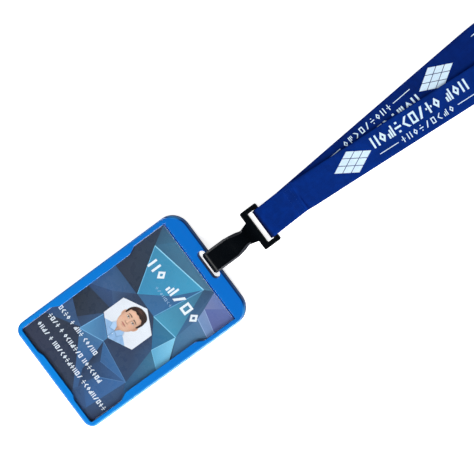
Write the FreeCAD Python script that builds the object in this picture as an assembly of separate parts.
import FreeCAD, Part
import math
import os

os.makedirs("parts", exist_ok=True)
V = FreeCAD.Vector

# ---------------------------------------------------------------- driving dimensions (mm)
# holder, in its own frame: centre of the back face at 0, 0, 0, front face up, slot end towards +Y
HOLD_W = 59.4          # outside width
HOLD_L = 97.0          # outside length
HOLD_T = 4.0           # outside thickness
R_TOP = 8.9            # plan radius of the two slot-end corners
R_BOT = 4.9            # plan radius of the two lower corners
EDGE_R = 0.9           # rounding of the front outside edge
BACK_R = 0.4           # rounding of the back outside edge
POCKET_X = 27.15       # half width of the card pocket
POCKET_Y0 = -46.45     # lower wall of the pocket
POCKET_Y1 = 40.30      # header step that closes the pocket's upper end
LIP_T = 0.9            # thickness of the retaining lips
LIP_X = 25.10          # half distance between the two side lips
LIP_LO0, LIP_LO1 = -28.8, -22.0   # a side lip grows out of the wall between these
LIP_HI0, LIP_HI1 = 17.2, 23.6     # and goes back into it between these
FOOT_Y_MID = -44.45    # edge of the bottom lip at its middle
FOOT_Y_END = -45.62    # and at its two ends
FOOT_X0, FOOT_X1 = 10.4, 14.9     # where the bottom lip's edge steps down
SLOT_HALF = 7.28       # half length of the lanyard slot
SLOT_Y0, SLOT_Y1 = 43.70, 47.50   # its two long walls
SLOT_EDGE = 0.30       # rounding of its rims
BACK_T = 1.80          # back cover plate
CARD_W, CARD_L, CARD_T = 53.98, 85.60, 0.76   # ID-1 card
FILM_W, FILM_L, FILM_T = 54.10, 85.60, 0.30   # clear front sheet
CARD_Z = 1.85
FILM_Z = 2.68
CARD_Y0 = -46.40

# hook, lying on its back
BEVEL = 0.80           # bevel of the body's front edges
WAIST_BEVEL = 0.35     # how much wider the bevel is above the waist
BIGHT_R = 2.25         # inside radius of the hook's bend, round the holder's top bar
HOOK_T = 1.25          # wall of the bend
HOOK_X = 5.34          # half width of the body
WAIST_X = 3.85         # half width of the waist
NECK_X = 5.25          # half width where the neck meets the ring
EYE_Y = 0.0            # set below: centre of the bend
RING_X, RING_IN = 10.15, 7.85     # half widths of the ring, outside and inside
RING_Y0, RING_Y1 = 70.45, 73.35   # lower bar of the ring
BAR_Y, BAR_R = 78.10, 1.25        # cross bar that carries the webbing
RING_Z0, RING_Z1 = 0.90, 3.50
GATE_Y, GATE_Z, GATE_R = 66.40, 1.88, 0.92   # root of the spring gate
GATE_TIP = 54.6
GATE_T = 0.85

# webbing
WEB_W = 15.0
WEB_T = 0.9
WRAP_R = 1.30          # inside radius of the fold round the cross bar
TAB_X = -0.25
SEAM_GAP = 0.03        # room between the sewn layers
TAB_END = 97.5
LEG_END = 210.0

# ---------------------------------------------------------------- derived
BIGHT_OUT = BIGHT_R + HOOK_T
HINGE_Z = BIGHT_OUT                       # the hook's back rests at z = 0
HINGE_H = (HOLD_L / 2.0, HOLD_T / 2.0)    # the same axis in the holder's frame
# the slot end is propped up by the hook under it: tilt of the holder about its lower edge
TILT = 0.0
for _ in range(40):
    TILT = math.asin((HINGE_Z - HINGE_H[1] * math.cos(TILT)) / HOLD_L)
BAR_Z = WRAP_R + WEB_T                    # centre of the cross bar


def from_holder(y, z):
    """A point of the holder's frame in the lying frame, before the origin shift."""
    a, b = y + HOLD_L / 2.0, z
    return (
        a * math.cos(TILT) - b * math.sin(TILT) - HOLD_L / 2.0,
        a * math.sin(TILT) + b * math.cos(TILT),
    )


EYE_Y, _eye_z = from_holder(HINGE_H[0], HINGE_H[1])
Y_LOW = from_holder(-HOLD_L / 2.0, HOLD_T - EDGE_R)[0]
Y_HIGH = BAR_Y + BAR_R
ORIGIN_Y = (Y_LOW + Y_HIGH) / 2.0         # middle of the holder and hook together
SHIFT = V(0, -ORIGIN_Y, 0)


def put(shape, name):
    s = shape.copy()
    s.translate(SHIFT)
    assert s.isValid(), name
    s.exportStep("parts/" + name + ".step")
    b = s.BoundBox
    print(
        "%-18s solids %d  volume %9.2f  x %.2f..%.2f  y %.2f..%.2f  z %.3f..%.3f"
        % (name, len(s.Solids), s.Volume, b.XMin, b.XMax, b.YMin, b.YMax, b.ZMin, b.ZMax)
    )
    return s


def tilt(shape):
    s = shape.copy()
    s.rotate(V(0, -HOLD_L / 2.0, 0), V(1, 0, 0), math.degrees(TILT))
    return s


def line(a, b):
    return Part.LineSegment(V(*a), V(*b)).toShape()


def arc(a, m, b):
    return Part.Arc(V(*a), V(*m), V(*b)).toShape()


def face(edges):
    return Part.Face(Part.Wire(edges))


def poly(points, z):
    p = [V(x, y, z) for x, y in points]
    return Part.Face(Part.makePolygon(p + [p[0]]))


def spline(points, z, t0=None, t1=None):
    c = Part.BSplineCurve()
    kw = {}
    if t0 is not None:
        c.interpolate(Points=[V(x, y, z) for x, y in points], InitialTangent=V(*t0), FinalTangent=V(*t1))
    else:
        c.interpolate(Points=[V(x, y, z) for x, y in points])
    return c.toShape()


# ---------------------------------------------------------------- holder
def outline(w, y0, y1, rt, rb, z):
    """Rounded rectangle: rt at the +Y corners, rb at the -Y corners."""
    k = math.sqrt(0.5)
    e = [
        line((-w + rb, y0, z), (w - rb, y0, z)),
        arc((w - rb, y0, z), (w - rb + rb * k, y0 + rb - rb * k, z), (w, y0 + rb, z)),
        line((w, y0 + rb, z), (w, y1 - rt, z)),
        arc((w, y1 - rt, z), (w - rt + rt * k, y1 - rt + rt * k, z), (w - rt, y1, z)),
        line((w - rt, y1, z), (-w + rt, y1, z)),
        arc((-w + rt, y1, z), (-w + rt - rt * k, y1 - rt + rt * k, z), (-w, y1 - rt, z)),
        line((-w, y1 - rt, z), (-w, y0 + rb, z)),
        arc((-w, y0 + rb, z), (-w + rb - rb * k, y0 + rb - rb * k, z), (-w + rb, y0, z)),
    ]
    return face(e)


def near(edge, z, zs=0.01):
    b = edge.BoundBox
    return abs(b.ZMin - z) < zs and abs(b.ZMax - z) < zs


block = outline(HOLD_W / 2, -HOLD_L / 2, HOLD_L / 2, R_TOP, R_BOT, 0).extrude(V(0, 0, HOLD_T))
front_edges = [e for e in block.Edges if near(e, HOLD_T)]
back_edges = [e for e in block.Edges if near(e, 0)]
block = block.makeFillet(EDGE_R, front_edges)
back_edges = [e for e in block.Edges if near(e, 0)]
block = block.makeFillet(BACK_R, back_edges)

# pocket below the lips, open at the back for the cover plate
pocket = outline(POCKET_X, POCKET_Y0, POCKET_Y1, 0.3, 0.3, -1).extrude(V(0, 0, 1 + HOLD_T - LIP_T))
# window between the lips, with the wavy edge
zt = HOLD_T - LIP_T - 0.5
sx, lx = POCKET_X, LIP_X


def s_curve(x0, y0, x1, y1, z):
    """A step between two parallel edges that run along Y."""
    m = (x0 + x1) / 2.0
    return spline([(x0, y0), (m, (y0 + y1) / 2.0), (x1, y1)], z, (0, 1 if y1 > y0 else -1, 0), (0, 1 if y1 > y0 else -1, 0))


def foot_curve(x0, y0, x1, y1, z):
    """The same for the bottom lip, whose edge runs along X."""
    m = (y0 + y1) / 2.0
    return spline([(x0, y0), ((x0 + x1) / 2.0, m), (x1, y1)], z, (1 if x1 > x0 else -1, 0, 0), (1 if x1 > x0 else -1, 0, 0))


cr = 1.3
k = math.sqrt(0.5)
window = face(
    [
        line((-sx, POCKET_Y1, zt), (-sx, LIP_HI1, zt)),
        s_curve(-sx, LIP_HI1, -lx, LIP_HI0, zt),
        line((-lx, LIP_HI0, zt), (-lx, LIP_LO1, zt)),
        s_curve(-lx, LIP_LO1, -sx, LIP_LO0, zt),
        line((-sx, LIP_LO0, zt), (-sx, FOOT_Y_END + cr, zt)),
        arc((-sx, FOOT_Y_END + cr, zt), (-sx + cr - cr * k, FOOT_Y_END + cr - cr * k, zt), (-sx + cr, FOOT_Y_END, zt)),
        line((-sx + cr, FOOT_Y_END, zt), (-FOOT_X1, FOOT_Y_END, zt)),
        foot_curve(-FOOT_X1, FOOT_Y_END, -FOOT_X0, FOOT_Y_MID, zt),
        line((-FOOT_X0, FOOT_Y_MID, zt), (FOOT_X0, FOOT_Y_MID, zt)),
        foot_curve(FOOT_X0, FOOT_Y_MID, FOOT_X1, FOOT_Y_END, zt),
        line((FOOT_X1, FOOT_Y_END, zt), (sx - cr, FOOT_Y_END, zt)),
        arc((sx - cr, FOOT_Y_END, zt), (sx - cr + cr * k, FOOT_Y_END + cr - cr * k, zt), (sx, FOOT_Y_END + cr, zt)),
        line((sx, FOOT_Y_END + cr, zt), (sx, LIP_LO0, zt)),
        s_curve(sx, LIP_LO0, lx, LIP_LO1, zt),
        line((lx, LIP_LO1, zt), (lx, LIP_HI0, zt)),
        s_curve(lx, LIP_HI0, sx, LIP_HI1, zt),
        line((sx, LIP_HI1, zt), (sx, POCKET_Y1, zt)),
        line((sx, POCKET_Y1, zt), (-sx, POCKET_Y1, zt)),
    ]
).extrude(V(0, 0, 4))
# lanyard slot, a stadium through the header
sr = (SLOT_Y1 - SLOT_Y0) / 2.0
sc = (SLOT_Y1 + SLOT_Y0) / 2.0
sh = SLOT_HALF - sr
slot = face(
    [
        line((-sh, SLOT_Y0, -1), (sh, SLOT_Y0, -1)),
        arc((sh, SLOT_Y0, -1), (sh + sr, sc, -1), (sh, SLOT_Y1, -1)),
        line((sh, SLOT_Y1, -1), (-sh, SLOT_Y1, -1)),
        arc((-sh, SLOT_Y1, -1), (-sh - sr, sc, -1), (-sh, SLOT_Y0, -1)),
    ]
).extrude(V(0, 0, HOLD_T + 2))
frame = block.cut(pocket).cut(window).cut(slot)
before = frame.Volume
rims = [
    e
    for e in frame.Edges
    if (near(e, HOLD_T) or near(e, 0))
    and e.BoundBox.YMin > SLOT_Y0 - 0.01
    and e.BoundBox.YMax < SLOT_Y1 + 0.01
    and e.BoundBox.XMax < SLOT_HALF + 0.01
    and e.BoundBox.XMin > -SLOT_HALF - 0.01
    and e.BoundBox.YMax - e.BoundBox.YMin + e.BoundBox.XMax - e.BoundBox.XMin > 0.5
]
lower = [e for e in rims if e.BoundBox.YMax < SLOT_Y1 - 0.2 or e.BoundBox.YMin < SLOT_Y0 + 0.3]
done = "none"
for group, r in ((rims, SLOT_EDGE), (rims, 0.08), (lower, SLOT_EDGE)):
    try:
        f = frame.makeFillet(r, group)
        if f.isValid() and len(f.Solids) == 1:
            frame, done = f, "%d edges r %.2f" % (len(group), r)
            break
    except Exception as err:
        print("slot rim rounding", r, "not made:", err)
print("slot rims:", done)
# a fine break along the window's front rim
wrim = [e for e in frame.Edges if near(e, HOLD_T) and e.BoundBox.YMax < POCKET_Y1 + 0.01 and abs(e.BoundBox.XMin) < sx + 0.01 and abs(e.BoundBox.XMax) < sx + 0.01]
for r in (0.2, 0.12):
    try:
        f = frame.makeFillet(r, wrim)
        if f.isValid() and len(f.Solids) == 1:
            frame = f
            print("window rim rounded", r, len(wrim))
            break
    except Exception as err:
        print("window rim rounding", r, "not made:", err)
frame = frame.Solids[0]
put(tilt(frame), "front_frame")

cover = outline(POCKET_X - 0.0, POCKET_Y0 + 0.0, POCKET_Y1 - 0.0, 0.3, 0.3, 0).extrude(V(0, 0, BACK_T))
put(tilt(cover), "back_cover")

card = outline(CARD_W / 2, CARD_Y0, CARD_Y0 + CARD_L, 0.4, 0.4, CARD_Z).extrude(V(0, 0, CARD_T))
put(tilt(card), "id_card")
film = outline(FILM_W / 2, CARD_Y0, CARD_Y0 + FILM_L, 0.25, 0.25, FILM_Z).extrude(V(0, 0, FILM_T))
put(tilt(film), "clear_cover")

# ---------------------------------------------------------------- hook
cy, cz = EYE_Y, HINGE_Z
ri, ro = BIGHT_R, BIGHT_OUT
TIP_Y = 57.2
kk = math.sqrt(0.5)


def side(points_edges):
    return face(points_edges).extrude(V(24, 0, 0))


X0 = -12.0


def yz(y, z):
    return (X0, y, z)


# side view of the body: a J whose long front leg runs into the neck
prof = side(
    [
        line(yz(cy, cz - ro), yz(TIP_Y - 0.5, 0.0)),
        arc(yz(TIP_Y - 0.5, 0.0), yz(TIP_Y - 0.5 + 0.5 * kk, 0.5 - 0.5 * kk), yz(TIP_Y, 0.5)),
        line(yz(TIP_Y, 0.5), yz(TIP_Y, HOOK_T - 0.5)),
        arc(yz(TIP_Y, HOOK_T - 0.5), yz(TIP_Y - 0.5 + 0.5 * kk, HOOK_T - 0.5 + 0.5 * kk), yz(TIP_Y - 0.5, HOOK_T)),
        line(yz(TIP_Y - 0.5, HOOK_T), yz(cy, HOOK_T)),
        arc(yz(cy, cz - ri), yz(cy - ri, cz), yz(cy, cz + ri)),
        line(yz(cy, cz + ri), yz(60.6, cz + ri)),
        arc(yz(60.6, cz + ri), yz(62.55, cz + ri - 0.85), yz(63.9, 3.35)),
        line(yz(63.9, 3.35), yz(66.4, 3.20)),
        line(yz(66.4, 3.20), yz(66.4, 0.55)),
        line(yz(66.4, 0.55), yz(70.2, RING_Z0)),
        line(yz(70.2, RING_Z0), yz(RING_Y1 - 0.3, RING_Z0)),
        line(yz(RING_Y1 - 0.3, RING_Z0), yz(RING_Y1 - 0.3, RING_Z1)),
        line(yz(RING_Y1 - 0.3, RING_Z1), yz(71.6, RING_Z1)),
        arc(yz(71.6, RING_Z1), yz(69.6, 4.05), yz(67.8, 5.05)),
        arc(yz(67.8, 5.05), yz(64.2, 6.55), yz(59.5, cz + ro)),
        line(yz(59.5, cz + ro), yz(cy, cz + ro)),
        arc(yz(cy, cz + ro), yz(cy - ro, cz), yz(cy, cz - ro)),
    ]
)
ty = cy - ro
hx, wx, nx = HOOK_X, WAIST_X, NECK_X


def flank(s):
    """Right-hand (s = 1) or left-hand edge of the body in plan, from the bend to the ring."""
    return spline(
        [
            (s * hx, 58.6),
            (s * (hx - 0.28), 61.3),
            (s * (wx + 0.52), 64.2),
            (s * wx, 66.3),
            (s * (wx + 0.42), 68.2),
            (s * nx, 70.95),
        ],
        -1,
        (0, 1, 0),
        (s * 0.42, 1, 0),
    )


plan_pts = [
    line((-hx, ty - 1, -1), (hx, ty - 1, -1)),
    line((hx, ty - 1, -1), (hx, 58.6, -1)),
    flank(1),
    line((nx, 70.95, -1), (nx, 73.3, -1)),
    line((nx, 73.3, -1), (-nx, 73.3, -1)),
    line((-nx, 73.3, -1), (-nx, 70.95, -1)),
    flank(-1),
    line((-hx, 58.6, -1), (-hx, ty - 1, -1)),
]
plan = Part.Face(Part.Wire(Part.__sortEdges__(plan_pts))).extrude(V(0, 0, 10))
body = prof.common(plan)
# bevels along the two front edges of the body: round the bend, up the front leg and past the waist
def bevel_section(x, y, z, size):
    """Triangle across Y that takes size off the edge at x, z."""
    return Part.makePolygon(
        [V(x - size, y, z + 0.001), V(x + 0.9, y, z + 0.9), V(x + 0.001, y, z - size), V(x - size, y, z + 0.001)]
    )


top_arc = Part.Arc(V(0, 67.8, 5.05), V(0, 64.2, 6.55), V(0, 59.5, cz + ro))


def arc_z(y):
    lo, hi = top_arc.FirstParameter, top_arc.LastParameter
    for _ in range(40):
        m = (lo + hi) / 2
        if top_arc.value(m).y > y:
            lo = m
        else:
            hi = m
    return top_arc.value(lo).z


edge = flank(1)


def flank_x(y):
    if y <= 58.6:
        return hx
    c = edge.Curve
    lo, hi = edge.FirstParameter, edge.LastParameter
    if c.value(lo).y > c.value(hi).y:
        lo, hi = hi, lo
    for _ in range(40):
        m = (lo + hi) / 2
        if c.value(m).y < y:
            lo = m
        else:
            hi = m
    return c.value(lo).x


stations = [(hx, cy, cz + ro, BEVEL), (hx, 58.4, cz + ro, BEVEL), (hx, 59.4, cz + ro, BEVEL)]
yy = 60.2
while yy < 67.6:
    stations.append((flank_x(yy), yy, arc_z(yy), BEVEL + WAIST_BEVEL * math.sin(math.pi * min(1.0, (yy - 59.4) / 8.4))))
    yy += 0.8
run = Part.makeLoft([bevel_section(*t) for t in stations], True, True)
tri = Part.Face(bevel_section(hx, cy, cz + ro, BEVEL))
turn = tri.revolve(V(0, cy, cz), V(1, 0, 0), 200)
cutter = [run, turn]
cutter += [c.mirror(V(0, 0, 0), V(1, 0, 0)) for c in (run, turn)]
before = body.Volume
for c in cutter:
    body = body.cut(c)
print("bevels took %.2f mm3" % (before - body.Volume), body.isValid(), len(body.Solids))
# ring: rounded frame with a round cross bar
rr = 0.9
ring = outline(RING_X, RING_Y0, BAR_Y + BAR_R, rr, rr, RING_Z0).extrude(V(0, 0, RING_Z1 - RING_Z0))
hole = outline(RING_IN, RING_Y1, BAR_Y + 5, 0.5, 0.5, RING_Z0 - 1).extrude(V(0, 0, 6))
ring = ring.cut(hole)
er = [e for e in ring.Edges if (near(e, RING_Z1) or near(e, RING_Z0)) and e.Length > 0.2]
try:
    r2 = ring.makeFillet(0.35, er)
    if r2.isValid():
        ring = r2
        print("ring edges rounded", len(er))
except Exception as err:
    print("ring rounding not made:", err)
bar = Part.makeCylinder(BAR_R, 2 * RING_IN + 0.8, V(-RING_IN - 0.4, BAR_Y, BAR_Z), V(1, 0, 0))
socket = Part.makeCylinder(GATE_R + 0.06, 2 * 2.9 + 0.3, V(-2.9 - 0.15, GATE_Y, GATE_Z), V(1, 0, 0))
hook = body.fuse(ring).fuse(bar).removeSplitter().cut(socket)
print("hook solids", len(hook.Solids), "valid", hook.isValid())
put(hook.Solids[0] if len(hook.Solids) == 1 else hook, "hook_body")

# gate: a leaf that closes the eye from behind, on a round root
leaf = face(
    [
        line((-2.9, GATE_Y, GATE_Z - GATE_R), (-2.9, GATE_Y - 1.2, GATE_Z - GATE_T / 2)),
        line((-2.9, GATE_Y - 1.2, GATE_Z - GATE_T / 2), (-2.9, GATE_TIP + 0.3, GATE_Z - GATE_T / 2)),
        arc(
            (-2.9, GATE_TIP + 0.3, GATE_Z - GATE_T / 2),
            (-2.9, GATE_TIP, GATE_Z),
            (-2.9, GATE_TIP + 0.3, GATE_Z + GATE_T / 2),
        ),
        line((-2.9, GATE_TIP + 0.3, GATE_Z + GATE_T / 2), (-2.9, GATE_Y - 1.2, GATE_Z + GATE_T / 2)),
        line((-2.9, GATE_Y - 1.2, GATE_Z + GATE_T / 2), (-2.9, GATE_Y, GATE_Z + GATE_R)),
        arc((-2.9, GATE_Y, GATE_Z + GATE_R), (-2.9, GATE_Y + GATE_R, GATE_Z), (-2.9, GATE_Y, GATE_Z - GATE_R)),
    ]
).extrude(V(5.8, 0, 0))
put(leaf, "hook_gate")


# ---------------------------------------------------------------- webbing
def ribbon(points, thick, report=None):
    """Side view of a flat strap along points (y, z): straight runs and tangent arcs, as a face in X = 0."""
    n = len(points)
    pts = [FreeCAD.Vector(0, y, z) for y, z in points]
    segs = []
    radii = []
    ends = [(pts[0], None)]
    tangents = []
    for i in range(1, n - 1):
        a, b, c = pts[i - 1], pts[i], pts[i + 1]
        d0, d1 = (b - a).normalize(), (c - b).normalize()
        turn = math.acos(max(-1.0, min(1.0, d0.dot(d1))))
        run = min((b - a).Length, (c - b).Length)
        r = 0.45 * run / math.tan(turn / 2)
        radii.append((round(r, 1), round(math.degrees(turn), 2)))
        tangents.append((b - d0 * (0.45 * run), b + d1 * (0.45 * run), d0, d1, r, turn))
    length = 0.0
    sides = []
    for s in (1, -1):
        edges = []
        h = s * thick / 2.0
        up = lambda d: FreeCAD.Vector(0, -d.z, d.y)
        p = pts[0] + up((pts[1] - pts[0]).normalize()) * h
        for t0, t1, d0, d1, r, turn in tangents:
            q0, q1 = t0 + up(d0) * h, t1 + up(d1) * h
            left = d0.y * d1.z - d0.z * d1.y
            centre = t0 + up(d0) * (r if left > 0 else -r)
            mid = (t0 + t1) * 0.5 - centre
            mid = centre + mid.normalize() * r
            dm = (d0 + d1).normalize()
            qm = mid + up(dm) * h
            edges.append(Part.LineSegment(p, q0).toShape())
            edges.append(Part.Arc(q0, qm, q1).toShape())
            p = q1
        q = pts[-1] + up((pts[-1] - pts[-2]).normalize()) * h
        edges.append(Part.LineSegment(p, q).toShape())
        sides.append((edges, pts[0] + up((pts[1] - pts[0]).normalize()) * h, q))
    p = pts[0]
    for t0, t1, d0, d1, r, turn in tangents:
        length += (t0 - p).Length + r * turn
        p = t1
    length += (pts[-1] - p).Length
    e = sides[0][0] + sides[1][0]
    e.append(Part.LineSegment(sides[0][1], sides[1][1]).toShape())
    e.append(Part.LineSegment(sides[0][2], sides[1][2]).toShape())
    if report:
        print(report, "radii and turns", radii, "length %.2f" % length)
    return Part.Face(Part.Wire(Part.__sortEdges__(e))), length


# folded end: up from the seam, round the cross bar and back under
rm = WRAP_R + WEB_T / 2.0
seam_z = 2.5 * WEB_T + SEAM_GAP     # top layer lies on the rear leg's end and on the tail
drop_y = 91.0
slope = math.atan((BAR_Z + rm - seam_z) / (drop_y - BAR_Y))
for _ in range(30):
    yy, zz = BAR_Y + rm * math.sin(slope), BAR_Z + rm * math.cos(slope)
    slope = math.atan((zz - seam_z) / (drop_y - yy))


def ring_pt(r, ang):
    return V(0, BAR_Y + r * math.cos(ang), BAR_Z + r * math.sin(ang))


a_top = math.pi / 2 - slope
ed = []
for r in (WRAP_R, WRAP_R + WEB_T):
    ed.append(Part.Arc(ring_pt(r, -math.pi / 2), ring_pt(r, math.pi), ring_pt(r, a_top)).toShape())
h = WEB_T / 2.0
half = slope / 2.0
o1, o2 = ring_pt(WRAP_R + WEB_T, a_top), ring_pt(WRAP_R, a_top)
c1 = V(0, drop_y + h * math.tan(half), seam_z + h)
c2 = V(0, drop_y - h * math.tan(half), seam_z - h)
ed += [
    Part.LineSegment(o1, c1).toShape(),
    Part.LineSegment(c1, V(0, TAB_END, seam_z + h)).toShape(),
    Part.LineSegment(V(0, TAB_END, seam_z + h), V(0, TAB_END, seam_z - h)).toShape(),
    Part.LineSegment(V(0, TAB_END, seam_z - h), c2).toShape(),
    Part.LineSegment(c2, o2).toShape(),
    Part.LineSegment(ring_pt(WRAP_R + WEB_T, -math.pi / 2), V(0, TAB_END - 0.5, 0)).toShape(),
    Part.LineSegment(V(0, TAB_END - 0.5, 0), V(0, TAB_END - 0.5, WEB_T)).toShape(),
    Part.LineSegment(V(0, TAB_END - 0.5, WEB_T), ring_pt(WRAP_R, -math.pi / 2)).toShape(),
]
tab = Part.Face(Part.Wire(Part.__sortEdges__(ed))).extrude(V(WEB_W, 0, 0))
tab.translate(V(TAB_X - WEB_W / 2, 0, 0))
put(tab, "strap_end_fold")

# stitches through the folded end: two bars across and a row down each side, on the top layer
st = []
for yb in (93.2, 96.2):
    for i in range(9):
        x = TAB_X - 5.6 + i * 1.4
        st.append(Part.makeBox(0.95, 0.32, 0.18, V(x - 0.475, yb - 0.16, seam_z + h)))
for xs in (-5.9, 5.9):
    for i in range(2):
        st.append(Part.makeBox(0.32, 0.95, 0.18, V(TAB_X + xs - 0.16, 93.75 + i * 1.1, seam_z + h)))
put(Part.makeCompound(st), "seam_stitches")

# front leg: leaves the fold's top layer and lies over the rear leg
FRONT = [(97.0, 2.28), (102.5, 2.278), (113.5, 1.39), (212.0, 1.38)]
FRONT_X0, FRONT_SLOPE = -0.50, 0.0623
front, fl = ribbon(FRONT, WEB_T, "front leg")
front = front.extrude(V(WEB_W, 0, 0))
front.translate(V(-WEB_W / 2, 0, 0))
front.rotate(V(0, 97.0, 0), V(0, 0, 1), -math.degrees(math.atan(FRONT_SLOPE)))
front.translate(V(FRONT_X0, 0, 0))
# square the start face to the fold, so that the two meet face to face
box = Part.makeBox(60, LEG_END - TAB_END, 20, V(-30, TAB_END, -5))
front = front.common(box)
print("front leg volume %.1f, section x length %.1f" % (front.Volume, WEB_W * WEB_T * fl))
put(front.Solids[0], "strap_front_leg")

# rear leg: its end is sewn between the two layers of the fold, then it drops to the ground
REAR = [(88.0, 1.365), (101.5, 1.366), (111.0, 0.46), (212.0, 0.455)]
REAR_X0, REAR_SLOPE = -0.35, -0.0760
rear, rl = ribbon(REAR, WEB_T, "rear leg")
rear = rear.extrude(V(WEB_W, 0, 0))
rear.translate(V(-WEB_W / 2, 0, 0))
rear.rotate(V(0, 88.0, 0), V(0, 0, 1), -math.degrees(math.atan(REAR_SLOPE)))
rear.translate(V(REAR_X0, 0, 0))
rear = rear.common(Part.makeBox(60, LEG_END - 80.0, 20, V(-30, 80.0, -5)))
print("rear leg volume %.1f, section x length %.1f" % (rear.Volume, WEB_W * WEB_T * rl))
put(rear.Solids[0], "strap_rear_leg")

# put-away length: the doubled loop turns on its edge and is folded once into a tied hank
HANK_H = 15.8          # height of the webbing on its edge, with slack
hank_plan = [
    (-41.4, 268.0), (-40.6, 258.0), (-34.5, 249.0), (-25.5, 245.6), (-15.5, 245.6), (-6.6, 249.0), (-1.6, 255.0), (4.0, 255.0), (14.2, 255.0),
    (14.4, 268.0), (10.8, 302.0), (10.8, 320.0), (20.6, 334.5), (24.6, 347.5), (22.4, 361.0), (13.2, 371.8), (-1.2, 376.4), (-9.5, 376.2),
    (-21.4, 371.4), (-30.4, 360.6), (-32.4, 346.5), (-28.0, 333.5), (-18.8, 320.0), (-18.8, 302.0), (-30.5, 289.5), (-38.6, 279.5),
]
hank = Part.makePolygon([V(x, y, 0) for x, y in hank_plan + hank_plan[:1]])
hank = Part.Face(hank).extrude(V(0, 0, HANK_H))
LEG_Y = LEG_END
wedge = Part.Face(
    Part.makePolygon([V(0, y, z) for y, z in [(LEG_Y, 0), (257, 0), (257, HANK_H), (247, HANK_H), (LEG_Y, 1.9), (LEG_Y, 0)]])
).extrude(V(60, 0, 0))
wedge.translate(V(-30, 0, 0))
wplan = Part.Face(
    Part.makePolygon([V(x, y, -1) for x, y in [(-17.2, LEG_Y), (14.1, LEG_Y), (14.6, 240), (14.4, 257), (1.5, 257), (-8.5, 238), (-17.2, LEG_Y)]])
).extrude(V(0, 0, 30))
hank = hank.fuse(wedge.common(wplan)).removeSplitter()
tie_x, tie_y, tie_w, tie_t = -4.0, 311.0, 9.0, 0.5
to = Part.makeBox(2 * 14.9, tie_w, HANK_H + 0.3, V(tie_x - 14.9, tie_y - tie_w / 2, 0))
tie_edges = [e for e in to.Edges if abs(e.tangentAt(e.FirstParameter).y) > 0.9]
to = to.makeFillet(1.2, tie_edges)
ti = Part.makeBox(2 * 14.3, tie_w + 2, HANK_H + 0.3 - 2 * tie_t, V(tie_x - 14.3, tie_y - tie_w / 2 - 1, tie_t))
tie_edges = [e for e in ti.Edges if abs(e.tangentAt(e.FirstParameter).y) > 0.9]
ti = ti.makeFillet(0.7, tie_edges)
band = to.cut(ti)
hank = hank.cut(band)
print("hank solids", len(hank.Solids))
put(hank.Solids[0], "strap_hank")
put(band, "tie_band")

print("tilt deg %.4f" % math.degrees(TILT), "origin y %.4f" % ORIGIN_Y)
print("hinge at bend y %.4f z %.4f" % (EYE_Y - ORIGIN_Y, HINGE_Z), "cross bar y %.4f z %.4f" % (BAR_Y - ORIGIN_Y, BAR_Z), "gate y %.4f z %.4f" % (GATE_Y - ORIGIN_Y, GATE_Z))
b0 = from_holder(0.0, 0.0)
print("back face centre y %.4f z %.4f" % (b0[0] - ORIGIN_Y, b0[1]))
